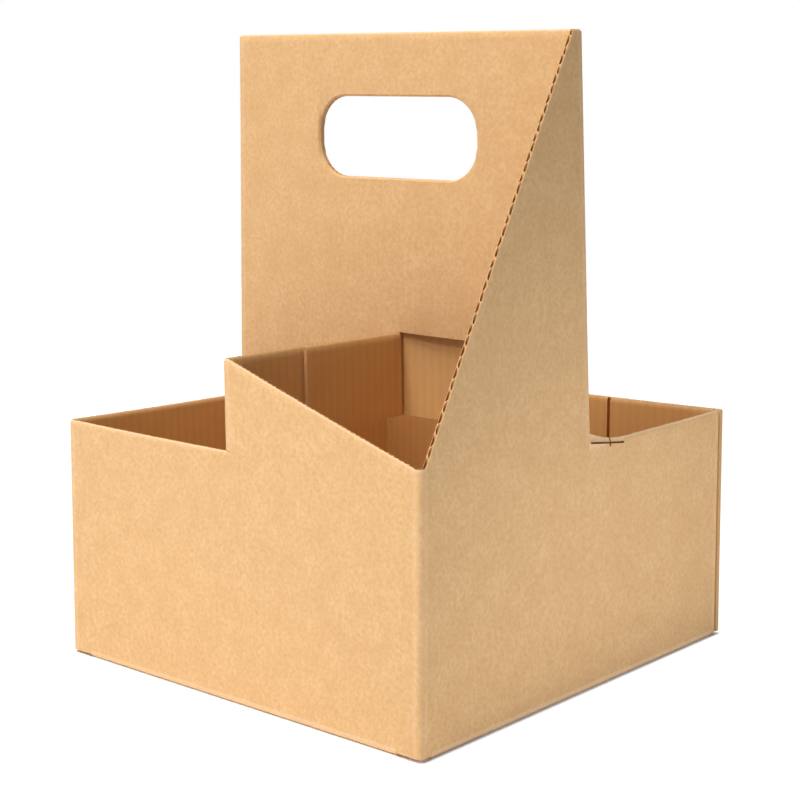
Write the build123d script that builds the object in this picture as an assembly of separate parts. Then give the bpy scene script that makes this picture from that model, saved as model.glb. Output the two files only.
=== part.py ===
from build123d import *
import math
import os

# Carrier for four takeaway cups, folded and glued from one die-cut sheet of corrugated board.
# The origin is under the middle of the base: X runs along the front wall, Y to the back, Z up.
# Half a turn about Z brings the carrier onto itself, apart from the glue lap at one corner,
# so the front wall, the right wall and what folds from them are modelled once.

# Board
board = 2.0  # thickness, liner to liner
bend = 1.0  # inner radius of a fold
crease_relief = 1.2  # height at which a wall's cut bottom edge stops beside a bottom flap
liner = 0.3  # each of the two flat sheets
medium = 0.25  # the waved sheet between the liners
flute_pitch = 4.4
flute_depth = 6.0  # how far below a cut top edge the flutes are modelled open
flute_margin = 1.0  # from the ends of a cut edge to the first open flute

# Box
width = 190.0  # outside, along the front wall
depth = 198.0  # outside, along a side wall
wall_height = 98.0  # level part of the four walls
corner_height = 103.0  # where the two raised edges meet at a corner

# Handle, two plies back to back in the middle of the depth
handle_height = 258.0
handle_land = 3.0  # level stretch between the slanted edge and the handle's fold
ply_clearance = 1.0  # from a ply's free end to the wall that it stops at
hole_width = 88.0
hole_height = 34.0
hole_radius = 15.0
hole_drop = 43.5  # from the handle's top edge to the hand hole's centre

# Divider straps, cut from the plies and lapped onto flaps folded back from the front and rear walls
divider_height = 133.0
strap_length = 55.5  # from the handle's face to the strap's free end
flap_length = 75.0  # from the wall's outer face to the flap's free end
flap_gap = 0.3  # between the underside of a flap and the wall's top edge below it

# Glue lap of the right wall inside the rear wall
lap_width = 57.5
lap_lift = 5.0  # from the base plane to the lap's lower edge

# Bottom: two main flaps that lock in a stepped seam, under two side flaps
side_flap_clearance = 4.0  # from the lock tabs to a side flap's free edge
side_flap_gap = 1.0  # from the ends of the lapped side wall to its bottom flap
side_flap_taper = 30.0  # how much the free edge of a side flap is cut back
side_flap_rise = 8.0  # run of the bend that lifts a side flap onto the main flaps
main_flap_gap = 0.6  # between a main flap and the side flaps' rising bends
seam_step = 14.0  # the seam lies this far past the middle on one side, short of it on the other
seam_slant = 8.0  # half width of the seam's slanted middle
seam_gap = 0.8
tab_start = 14.0
tab_width = 24.0
tab_reach = 13.0
tab_rise = 6.0
flap_corner = 5.0  # radius of the flaps' cut corners

# Where the panels end and the folds begin
outer_bend = bend + board
half_width = width / 2
half_depth = depth / 2
wall_end_x = half_width - outer_bend
wall_end_y = half_depth - outer_bend
lap_end_y = wall_end_y - board
main_hinge = wall_end_x - side_flap_rise - main_flap_gap
side_hinge = lap_end_y - side_flap_gap
strap_end = board + strap_length
notch_width = strap_length - bend + math.pi / 2 * (bend + board / 2)

handle_left = board + ply_clearance - half_width
hole_middle = handle_height - hole_drop
side_flap_tip = tab_start + tab_width + side_flap_clearance

half_turn = Rot(0, 0, 180)


def panel_across(outline, y):
    """Upright panel along X: outline of (x, z) points, with its front face at y."""
    plane = Plane(origin=(0, y, 0), x_dir=(1, 0, 0), z_dir=(0, -1, 0))
    return extrude(plane * make_face(Polyline(*outline, close=True)), amount=-board)


def panel_along(outline, x):
    """Upright panel along Y: outline of (y, z) points, with its left face at x."""
    plane = Plane(origin=(x, 0, 0), x_dir=(0, 1, 0), z_dir=(1, 0, 0))
    return extrude(plane * make_face(Polyline(*outline, close=True)), amount=board)


def flute_row(start, end):
    """Plan of the open flutes along X from start to end: triangles on one liner and the other in turn."""
    step = flute_pitch / 2
    count = int((end - start - 2 * flute_margin) / step) - 1
    first = (start + end - (count - 1) * step) / 2
    core = board - 2 * liner
    share = 1 - medium / (flute_pitch * math.sin(math.atan2(core, step)))
    corners = [(-share * step, core / 2), (share * step, core / 2), (0, core / 2 - share * core)]
    triangle = make_face(Polyline(*corners, close=True))
    return [Pos(first + i * step, 0) * Rot(0, 0, 180 * (i % 2)) * triangle for i in range(count)]


def open_top(panel, rows):
    """The panel with the flutes of these rows open along its top edge, level or slanted."""
    rim = panel - Pos(0, 0, -flute_depth) * panel
    flutes = extrude(Sketch() + rows, amount=handle_height)
    return panel - (flutes & rim)


def open_across(outline, y, *stretches):
    """Panel along X whose flutes are open on top along these stretches of X."""
    place = Pos(0, y + board / 2)
    rows = [place * face for stretch in stretches for face in flute_row(*stretch)]
    return open_top(panel_across(outline, y), rows)


def open_along(outline, x, *stretches):
    """Panel along Y whose flutes are open on top along these stretches of Y."""
    place = Pos(x + board / 2, 0) * Rot(0, 0, 90)
    rows = [place * face for stretch in stretches for face in flute_row(*stretch)]
    return open_top(panel_along(outline, x), rows)


def quarter_ring(turns):
    """Section of a fold: a quarter of a ring, turned by that many right angles."""
    corner = Rectangle(outer_bend, outer_bend, align=(Align.MIN, Align.MIN))
    return Rot(0, 0, 90 * turns) * ((Circle(outer_bend) - Circle(bend)) & corner)


def upright_fold(x, y, turns, low, high):
    """Fold about a vertical line at x, y."""
    return extrude(Pos(x, y, low) * quarter_ring(turns), amount=high - low)


def front_wall(left_end):
    """Front wall, low on the left and raised on the right, from left_end to the near corner's fold."""
    outline = [
        (left_end, crease_relief),
        (-main_hinge, crease_relief),
        (-main_hinge, outer_bend),
        (main_hinge, outer_bend),
        (main_hinge, crease_relief),
        (wall_end_x, crease_relief),
        (wall_end_x, corner_height),
        (bend, divider_height),
        (bend, wall_height),
        (left_end, wall_height),
    ]
    return open_across(outline, -half_depth, (-wall_end_x, bend), (bend, wall_end_x))


def side_wall(far_end):
    """Right wall, raised to the handle's height in its front half, from the near corner to far_end."""
    outline = [
        (-wall_end_y, crease_relief),
        (-side_hinge, crease_relief),
        (-side_hinge, outer_bend),
        (side_hinge, outer_bend),
        (side_hinge, crease_relief),
        (far_end, crease_relief),
        (far_end, wall_height),
        (-bend, wall_height),
        (-bend, handle_height),
        (-bend - handle_land, handle_height),
        (-wall_end_y, corner_height),
    ]
    return open_along(outline, half_width - board, (-wall_end_y, -bend), (-bend, far_end))


def handle_ply():
    """Rear ply of the handle, folded from the right wall, with the notch that its strap came from."""
    outline = [
        (handle_left, wall_height),
        (bend - notch_width, wall_height),
        (bend - notch_width, divider_height),
        (bend, divider_height),
        (bend, wall_height),
        (wall_end_x, wall_height),
        (wall_end_x, handle_height),
        (handle_left, handle_height),
    ]
    fold = upright_fold(wall_end_x, -bend, 0, wall_height, handle_height)
    return [open_across(outline, 0, (handle_left, wall_end_x)), fold]


def divider():
    """Strap folded back from the rear ply, and the flap folded back from the front wall."""
    low = wall_height + flap_gap
    strap = [
        (outer_bend, wall_height),
        (strap_end, wall_height),
        (strap_end, divider_height),
        (outer_bend, divider_height),
    ]
    flap = [
        (-wall_end_y, low),
        (flap_length - half_depth, low),
        (flap_length - half_depth, divider_height),
        (-wall_end_y, divider_height),
    ]
    return [
        open_along(strap, -board, (outer_bend, strap_end)),
        upright_fold(bend, outer_bend, 2, wall_height, divider_height),
        open_along(flap, -board, (-wall_end_y, flap_length - half_depth)),
        upright_fold(bend, -wall_end_y, 2, low, divider_height),
    ]


def main_flap():
    """Bottom flap of the front wall, lying on the floor, with its half of the stepped seam."""
    hinge_plane = Plane(origin=(-main_hinge, 0, 0), x_dir=(0, 1, 0), z_dir=(1, 0, 0))
    fold = extrude(hinge_plane * Pos(-wall_end_y, outer_bend) * quarter_ring(2), amount=2 * main_hinge)
    outline = [
        (-main_hinge, -wall_end_y),
        (main_hinge, -wall_end_y),
        (main_hinge, seam_step),
        (seam_slant, seam_step),
        (-seam_slant, -seam_step),
        (-main_hinge, -seam_step),
    ]
    plate = extrude(make_face(Polyline(*outline, close=True)), amount=board)
    seam = Polyline(*outline[2:])
    tab_foot = seam_step - seam_gap / 2 - tab_rise
    cut = Pos(tab_start, tab_foot, 0) * Box(tab_width, tab_rise + seam_gap, board, align=Align.MIN)
    return [fold, plate - extrude(trace(seam, seam_gap), amount=board) - cut, lock_tab(tab_foot)]


def lock_tab(foot):
    """Tab that rises from a main flap and lies over the edge of the other one."""
    top = foot + tab_rise
    profile = [
        (foot, 0),
        (top, board),
        (seam_step + tab_reach, board),
        (seam_step + tab_reach, 2 * board),
        (top, 2 * board),
        (foot, board),
    ]
    plane = Plane(origin=(tab_start, 0, 0), x_dir=(0, 1, 0), z_dir=(1, 0, 0))
    return extrude(plane * make_face(Polyline(*profile, close=True)), amount=tab_width)


def side_flap():
    """Bottom flap of the right wall, lifted by an easy bend onto the two main flaps."""
    hinge_plane = Plane(origin=(0, side_hinge, 0), x_dir=(1, 0, 0), z_dir=(0, -1, 0))
    fold = extrude(hinge_plane * Pos(wall_end_x, outer_bend) * quarter_ring(3), amount=2 * side_hinge)
    crest = wall_end_x - side_flap_rise
    bend_section = [(wall_end_x, 0), (wall_end_x, board), (crest, 2 * board), (crest, board)]
    rise = extrude(hinge_plane * make_face(Polyline(*bend_section, close=True)), amount=2 * side_hinge)
    outline = [
        (crest, -side_hinge),
        (crest, side_hinge),
        (side_flap_tip, side_hinge - side_flap_taper / 4),
        (side_flap_tip, side_flap_taper - side_hinge),
    ]
    face = make_face(Polyline(*outline, close=True))
    face = fillet(face.vertices().sort_by(Axis.X)[:2], flap_corner)
    return [fold, rise, extrude(Pos(0, 0, board) * face, amount=board)]


def glue_lap():
    """Flap at the right wall's rear end, folded in and glued to the rear wall's inside."""
    back = half_depth - board
    outline = [
        (half_width - lap_width, lap_lift),
        (wall_end_x, lap_lift),
        (wall_end_x, wall_height),
        (half_width - lap_width, wall_height),
    ]
    fold = upright_fold(wall_end_x, lap_end_y, 0, lap_lift, wall_height)
    return [panel_across(outline, back - board), fold]


def hand_hole():
    """Cutter for the hole through both plies of the handle."""
    plane = Plane(origin=(0, 2 * board, hole_middle), x_dir=(1, 0, 0), z_dir=(0, -1, 0))
    return extrude(plane * RectangleRounded(hole_width, hole_height, hole_radius), amount=4 * board)


near_corner = upright_fold(wall_end_x, -wall_end_y, 3, crease_relief, corner_height)
left_corner = upright_fold(-wall_end_x, -wall_end_y, 2, crease_relief, wall_height)
repeated = [near_corner, *handle_ply(), *divider(), *main_flap(), *side_flap()]
single = [
    front_wall(-wall_end_x),
    half_turn * front_wall(-half_width),
    side_wall(lap_end_y),
    half_turn * side_wall(wall_end_y),
    left_corner,
    *glue_lap(),
]
folded = Part() + single + repeated + [half_turn * piece for piece in repeated]
carrier = folded - hand_hole()
carrier.label = "cup_carrier"

os.makedirs("parts", exist_ok=True)
export_step(carrier, "parts/cup_carrier.step")

solids = carrier.solids()
print("solids", len(solids), "faces", len(carrier.faces()))
print("volume mm3", round(carrier.volume))
print("box", carrier.bounding_box())
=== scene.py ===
import math

import bpy
import numpy as np
from bpy.props import FloatProperty, FloatVectorProperty, PointerProperty
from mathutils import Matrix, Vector


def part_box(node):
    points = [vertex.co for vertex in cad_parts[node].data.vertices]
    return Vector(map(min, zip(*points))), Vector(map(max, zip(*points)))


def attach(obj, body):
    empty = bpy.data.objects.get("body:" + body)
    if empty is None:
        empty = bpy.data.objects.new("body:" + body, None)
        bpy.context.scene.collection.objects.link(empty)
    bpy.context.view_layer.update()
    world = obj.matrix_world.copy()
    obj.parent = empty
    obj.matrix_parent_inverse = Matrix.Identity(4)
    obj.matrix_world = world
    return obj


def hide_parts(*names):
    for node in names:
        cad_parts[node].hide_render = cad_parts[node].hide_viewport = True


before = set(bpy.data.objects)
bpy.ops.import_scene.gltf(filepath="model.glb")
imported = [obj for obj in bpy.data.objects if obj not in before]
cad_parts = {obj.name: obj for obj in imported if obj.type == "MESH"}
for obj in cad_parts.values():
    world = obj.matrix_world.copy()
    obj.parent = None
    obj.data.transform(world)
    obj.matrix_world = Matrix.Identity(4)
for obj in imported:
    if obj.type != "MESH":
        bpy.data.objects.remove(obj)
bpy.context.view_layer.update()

bl_info = {
    "name": "Corrugated Cup Carrier",
    "version": (1, 0, 0),
    "blender": (4, 5, 0),
    "location": "3D View > Sidebar > Carrier",
    "description": "Folds a cup carrier from one sheet of corrugated board and sets it on a pale stage",
    "category": "Add Mesh",
}

MM = 0.001
NODE = "cup_carrier"
LOWEST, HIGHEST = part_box(NODE)
HALF_WIDTH = HIGHEST.x
HALF_DEPTH = HIGHEST.y
HANDLE_TOP = HIGHEST.z

OUTER, INNER, EDGE, POCKET = range(4)
LOWER_VOID, UPPER_VOID, OUTER_LINER, INNER_LINER = 1, 3, 4, 0
LAYERS = 5  # two liners, the medium and the voids on both sides of it
QUARTER = math.pi / 2
CREASE_POWER = 3.4  # 2 is a round fold, more is squarer
WELD = 0.0001 * MM
SLACK = 1e-9  # allowance for rounding, in metres
SHARP = math.radians(38)
PLAIN_CUT, CRUSHED_CUT = 0.32, 0.75  # share of its full gap from which a flute is open
DIVIDER_ROW = 3  # place of the divider's top among the handle's rows
UNDER_HOLE = 9  # place of the row from which the hand hole opens
HOLE_POINTS = 13  # columns round each corner of the hand hole
HOLE_CLEAR = 4 * MM  # from the ends of the hand hole to its first open flute
FOLD_ROWS = 8
# Pale share along the folds: partly rub, partly painted highlight where a fold catches the light.
FOLD_RUB_AND_HIGHLIGHT, FOLD_RUB_AND_HIGHLIGHT_WIDTH = 0.25, 0.8 * MM
# Pale band along the bottom folds: painted highlight for the light the floor throws up onto them.
BOTTOM_HIGHLIGHT, BOTTOM_HIGHLIGHT_WIDTH = 0.6, 1 * MM
SLANT_CRUSH = 0.3
FREE_END_CRUSH = 0.2
FLUTE_SQUARENESS = 1.3
LEAN_POWER, DROOP_POWER = 0.9, 1.3
LEFT_DROOP = 0.2  # share of the droop that reaches the handle's left end
RIPPLE = 0.25 * MM

SPRING_START, SPRING_END = 26 * MM, 36 * MM  # how softly the pushed stretch begins and ends
SPRING_HEIGHT = 42 * MM
SPRING_NEAR, SPRING_REACH = 6 * MM, 44 * MM  # from the handle to where the push fades, and how fast

PAPER_ROUGHNESS, PAPER_GLOSS = 0.88, 0.25
FLOOR_RADIUS, FLOOR_SIDES = 1.5, 64
FLOOR_LEVEL = -0.05 * MM
FLOOR_GLOW = 1.17
GLOW_SHARE, CONTACT_WIDTH = 0.8, 1.2 * MM
AMBIENT_TINT = (0.6, 0.82, 1.0, 1)
WHITE = (1, 1, 1, 1)
CARRIER_MIDDLE = (0, 0, 0.1)
# Place, target, share of the key light's power, width and tint
LAMPS = {
    "key": ((-0.12, -1.5, 1.75), CARRIER_MIDDLE, 1.0, 0.4, (1.0, 0.9, 0.8)),
    "top": ((-0.1, -0.5, 1.6), CARRIER_MIDDLE, 1.54, 0.7, (1.0, 0.93, 0.84)),
    "rear": ((-1.1, 1.2, 0.9), CARRIER_MIDDLE, 0.9, 0.5, (1.0, 0.9, 0.8)),
    "low_side": ((0.27, 0.01, 0), (0.095, 0.01, 0), 0.021, 0.2, (0.88, 0.93, 1.0)),
    "low_front": ((-0.02, -0.4, 0.02), (-0.02, -0.1, 0.02), 0.035, 0.3, (0.75, 0.86, 1.0)),
}


def size(name, description, value):
    """A length in metres that shows in the sidebar."""
    return FloatProperty(name=name, description=description, default=value * MM, unit="LENGTH", precision=5)


def portion(name, description, value):
    """A share from 0 to 1 that shows in the sidebar."""
    return FloatProperty(name=name, description=description, default=value, subtype="FACTOR", min=0, max=1)


def bearing(name, description, degrees):
    """An angle that shows in the sidebar."""
    return FloatProperty(name=name, description=description, default=math.radians(degrees), subtype="ANGLE")


def colour(name, description, value):
    """A linear colour that shows in the sidebar, given as it looks on a screen."""
    linear = [((c + 0.055) / 1.055) ** 2.4 if c > 0.04 else c / 12.92 for c in value]
    return FloatVectorProperty(
        name=name, description=description, subtype="COLOR", size=4, min=0.0, max=1.0, default=(*linear, 1.0)
    )


class CarrierBoard(bpy.types.PropertyGroup):
    """Sizes of the corrugated board and of its folds"""

    thickness: size("Thickness", "Board, liner to liner", 2.0)
    liner: size("Liner", "Thickness of each flat liner", 0.24)
    medium: size("Medium", "Thickness of the fluted paper between the liners", 0.2)
    pitch: size("Flute pitch", "From one flute to the next", 4.4)
    bend: size("Fold radius", "Inner radius of a fold", 1.0)
    pocket: size("Pocket depth", "How deep a flute is open below a cut edge", 3.5)
    station: size("Station", "Distance between the points that follow a flute", 0.44)
    washboard: size("Washboard", "How far the flutes show through the inner liner", 0.022)
    fuzz: size("Fuzz", "Unevenness of the cut edges", 0.14)
    rim: size("Crushed rim", "Height over which the cutting die has crushed a cut edge", 1.0)
    press: size("Pressed rim", "Width of the pressed strip round the hand hole", 0.8)
    crush: portion("Crush", "Thickness that is left at a crushed edge", 0.38)
    pinch: portion("Pinch", "Thickness that is left at the hand hole", 0.4)


class CarrierCut(bpy.types.PropertyGroup):
    """Sizes of the die-cut blank"""

    wall: size("Wall height", "Level part of the four walls", 98.0)
    corner: size("Corner height", "Where two raised edges meet", 103.0)
    divider: size("Divider height", "Top of the divider straps", 133.0)
    land: size("Handle land", "Level stretch between a slanted edge and the handle's fold", 3.0)
    clearance: size("Ply clearance", "From a ply's free end to the wall it stops at", 1.0)
    hole_width: size("Hole width", "Hand hole, along the handle", 88.0)
    hole_height: size("Hole height", "Hand hole, upwards", 34.0)
    hole_radius: size("Hole radius", "Corner radius of the hand hole", 15.0)
    hole_drop: size("Hole drop", "From the handle's top to the hole's centre", 43.5)
    strap: size("Strap length", "From the handle's face to the strap's free end", 55.5)
    flap: size("Flap length", "From the wall's outer face to the flap's free end", 75.0)
    flap_gap: size("Flap gap", "Between a divider flap and the wall's edge below it", 0.3)
    lap: size("Lap width", "Glue lap inside the rear wall", 57.5)
    lap_lift: size("Lap lift", "From the floor to the lap's lower edge", 5.0)
    relief: size("Crease relief", "Height of a wall's lower edge beside a bottom flap", 1.2)
    seam_step: size("Seam step", "How far the bottom seam lies past the middle", 14.0)
    seam_slant: size("Seam slant", "Half width of the seam's slanted middle", 8.0)
    seam_gap: size("Seam gap", "Between the two main bottom flaps", 0.8)
    tab_start: size("Tab start", "From the middle to the lock tab", 14.0)
    tab_width: size("Tab width", "Lock tab, across", 24.0)
    tab_reach: size("Tab reach", "How far a lock tab lies over the other flap", 13.0)
    tab_rise: size("Tab rise", "Run of a lock tab's rise", 6.0)
    side_rise: size("Side flap rise", "Run of the bend that lifts a side flap", 8.0)
    side_taper: size("Side flap taper", "How much a side flap is cut back in front", 30.0)
    side_gap: size("Side flap clearance", "From the lock tabs to a side flap", 4.0)


class CarrierWear(bpy.types.PropertyGroup):
    """How far the folded carrier has moved off its ideal shape"""

    front_dip: size("Front dip", "Sag of the front and rear edges in their middle", 1.0)
    side_dip: size("Side dip", "Sag of the side edges in their middle", 1.0)
    lean: size("Lean", "How far the handle's right end leans in at the top", 6.3)
    left_lean: size("Left lean", "How far the handle's left end leans in at the top", 1.0)
    droop: size("Droop", "How far the handle's right end hangs at the top", 3.9)
    bow: size("Bow", "How far the walls bow in between their folds", 0.7)
    spring: size("Spring", "How far the folded straps push the plies of the handle apart", 1.5)
    fillet: size("Fillet", "How far the right wall's edge rises to the handle", 4.8)
    slit_high: size("Slit rise", "Height of the slit beside the handle, above the wall", 0.6)
    slit_low: size("Slit fall", "Depth of the slit's far end below the wall's edge", 2.4)
    slit_start: size("Slit start", "From the handle to the slit in the right wall's outer liner", 1.2)
    slit_length: size("Slit end", "From the handle to the slit's far end", 24.0)
    slit: size("Slit height", "How far the slit and the nick stand open", 0.8)
    nick: size("Nick", "From the handle to the nick across the slit", 14.1)


class CarrierFinish(bpy.types.PropertyGroup):
    """Colours of the kraft board"""

    outer: colour("Outer liner", "Smooth face of the board", (0.885, 0.719, 0.507))
    outer_dark: colour("Outer liner, dark fibres", "Darker fibres and cloudy patches", (0.820, 0.625, 0.412))
    inner: colour("Inner liner", "Inside face of the board", (0.868, 0.698, 0.472))
    inner_dark: colour("Inner liner, flute lines", "Where the flutes show through", (0.805, 0.625, 0.405))
    edge: colour("Cut edge", "Raw paper at a cut", (0.820, 0.640, 0.440))
    # Pale colour of rubbed paper. It is also laid on folds and cut edges as painted highlight, and on the
    # fibres.
    rub_and_highlight: colour("Rubbed paper", "Folds and edges where the face is worn", (0.980, 0.850, 0.700))
    pocket: colour("Flute", "Paper inside the flutes", (0.740, 0.510, 0.300))


class CarrierStage(bpy.types.PropertyGroup):
    """Camera, light and floor"""

    eye: FloatVectorProperty(
        name="Eye",
        description="Where the camera stands",
        subtype="TRANSLATION",
        default=(0.4601, -0.5293, 0.2226),
    )
    heading: bearing("Heading", "Turn of the camera to the left", 41.04)
    pitch: bearing("Pitch", "How far the camera looks down", 6.38)
    lens: FloatProperty(name="Lens", description="Focal length", default=76.56, unit="CAMERA")
    shift: FloatProperty(name="Shift", description="Vertical shift of the picture", default=-0.12)
    key: FloatProperty(
        name="Key light",
        description="Power of the main light in front, which the other lights follow",
        default=13.9,
        unit="POWER",
    )
    fill: FloatProperty(name="Ambient", description="Strength of the light from all round", default=0.23)
    floor: colour("Floor", "Colour of the floor and background", (0.96, 0.96, 0.96))


def smooth(t):
    """Smooth step from 0 to 1."""
    t = np.clip(t, 0, 1)
    return t * t * (3 - 2 * t)


def squareness(angle):
    """How much further than a round bend a creased fold reaches, at an angle from its start."""
    power = CREASE_POWER
    return (np.abs(np.cos(angle)) ** power + np.abs(np.sin(angle)) ** power) ** (-1 / power)


def within(values, start, end):
    """Which values lie from start to end, both included."""
    return (values >= start - SLACK) & (values <= end + SLACK)


class Route:
    """Centre line of upright board seen from above: straight runs joined by quarter-turn folds."""

    def __init__(self, start, heading, runs, fold, flute=0.0, sense=1, outer=1):
        self.fold, self.flute, self.sense, self.outer = fold, flute, sense, outer
        self.parts = []
        x, y = start
        angle = math.radians(heading)
        at = 0.0
        for run in runs:
            turn = {"left": 1, "right": -1}.get(run, 0)
            length = QUARTER * fold if turn else run
            self.parts.append((at, at + length, turn, x, y, angle))
            if turn:
                cx, cy = x - math.sin(angle) * turn * fold, y + math.cos(angle) * turn * fold
                angle += turn * QUARTER
                x, y = cx + math.sin(angle) * turn * fold, cy - math.cos(angle) * turn * fold
            else:
                x, y = x + math.cos(angle) * run, y + math.sin(angle) * run
            at += length
        self.length = at

    def ends(self):
        return [part[0] for part in self.parts] + [self.length]

    def at(self, s):
        """Points, outward directions and the folds' pale rub with painted highlight at positions s."""
        points, normals, rub_and_highlight = np.zeros((len(s), 2)), np.zeros((len(s), 2)), np.zeros(len(s))
        for start, end, turn, x, y, angle in self.parts:
            here = within(s, start, end)
            along = s[here] - start
            reach = np.ones(here.sum())
            if turn:
                cx = x - math.sin(angle) * turn * self.fold
                cy = y + math.cos(angle) * turn * self.fold
                a = angle + turn * along / self.fold
                reach = squareness(along / self.fold)
                out = turn * self.fold * reach
                points[here] = np.stack([cx + np.sin(a) * out, cy - np.cos(a) * out], 1)
                # Painted highlight, partly rub, that fades from each end of the fold.
                for side in (start, end):
                    near = np.exp(-(((s - side) / FOLD_RUB_AND_HIGHLIGHT_WIDTH) ** 2))
                    rub_and_highlight = np.maximum(rub_and_highlight, FOLD_RUB_AND_HIGHLIGHT * near)
            else:
                a = np.full(here.sum(), angle)
                points[here] = np.stack([x + np.cos(a) * along, y + np.sin(a) * along], 1)
            normals[here] = np.stack([-np.sin(a), np.cos(a)], 1) * self.outer * reach[:, None]
        return points, normals, rub_and_highlight

    def sheet(self, s):
        """Position across the flutes of the flat sheet."""
        return self.flute + self.sense * s


def stations(start, end, marks, step):
    """Positions from start to end at even steps, with the marks among them."""
    fixed = np.unique(np.round([start, end, *[m for m in marks if start < m < end]], 9))
    grid = np.arange(math.floor(start / step), math.ceil(end / step) + 1) * step
    grid = grid[(grid > start) & (grid < end)]
    near = np.abs(grid[:, None] - fixed[None, :]).min(1)
    return np.sort(np.concatenate([fixed, grid[near > 0.3 * step]]))


def layers(flute, board):
    """Offsets of the six paper surfaces from the middle of the board, at each place across the flutes."""
    half = board.thickness / 2
    core = half - board.liner
    reach = core - board.medium / 2
    drift = 0.35 * MM * np.sin(flute / (23 * MM)) + 0.2 * MM * np.sin(flute / (9.7 * MM) + 1)
    swing = np.cos(2 * math.pi * (flute + drift) / board.pitch)
    lopsided = 0.22 * np.sin(flute / (13 * MM) + 2)
    wave = np.clip(FLUTE_SQUARENESS * swing + lopsided, -1, 1) * reach
    return np.stack(
        [
            -half + board.washboard * (0.5 + 0.5 * swing),
            np.full_like(wave, -core),
            wave - board.medium / 2,
            wave + board.medium / 2,
            np.full_like(wave, core),
            half - 0.3 * board.washboard * (0.5 - 0.5 * swing),
        ],
        1,
    )


def upright(route, s, offsets, rows, crushed, board):
    """Places board that stands on the route: rows are heights, and crushed edges are thin and pale from rub
    and painted highlight.
    """
    points, normals, rub_and_highlight = route.at(s)
    left = 1 - (1 - board.crush) * crushed
    out = offsets[:, :, None] * left[:, None, :]
    n, k = rows.shape
    placed = np.zeros((n, 6, k, 3))
    placed[..., :2] = points[:, None, None, :] + normals[:, None, None, :] * out[..., None]
    placed[..., 2] = rows[:, None, :]
    # Crushed cut edges get the pale colour: partly rub, partly painted highlight where the bevel catches the
    # light.
    return placed, np.maximum(rub_and_highlight[:, None], np.clip(1.5 * crushed, 0, 1))


def folded_under(route, s, offsets, rows, lift):
    """Places a bottom flap: rows are heights down to the fold, then go on round it and inwards."""
    points, normals, _ = route.at(s)
    radius = route.fold
    hinge = radius + offsets.max()
    angle = np.clip((hinge - rows) / radius, 0, QUARTER)
    inward = np.maximum(hinge - QUARTER * radius - rows, 0)
    height = np.maximum(rows, hinge)
    reach = (radius + offsets)[:, :, None] * squareness(angle)[:, None, :]
    out = reach * np.cos(angle)[:, None, :] - radius - inward[:, None, :]
    n, k = rows.shape
    placed = np.zeros((n, 6, k, 3))
    placed[..., :2] = points[:, None, None, :] + normals[:, None, None, :] * out[..., None]
    placed[..., 2] = height[:, None, :] - reach * np.sin(angle)[:, None, :] + lift(inward)[:, None, :]
    # Painted highlight on the bottom fold, for the light thrown up by the floor.
    return placed, BOTTOM_HIGHLIGHT * ((rows <= hinge) & (inward < BOTTOM_HIGHLIGHT_WIDTH))


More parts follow.
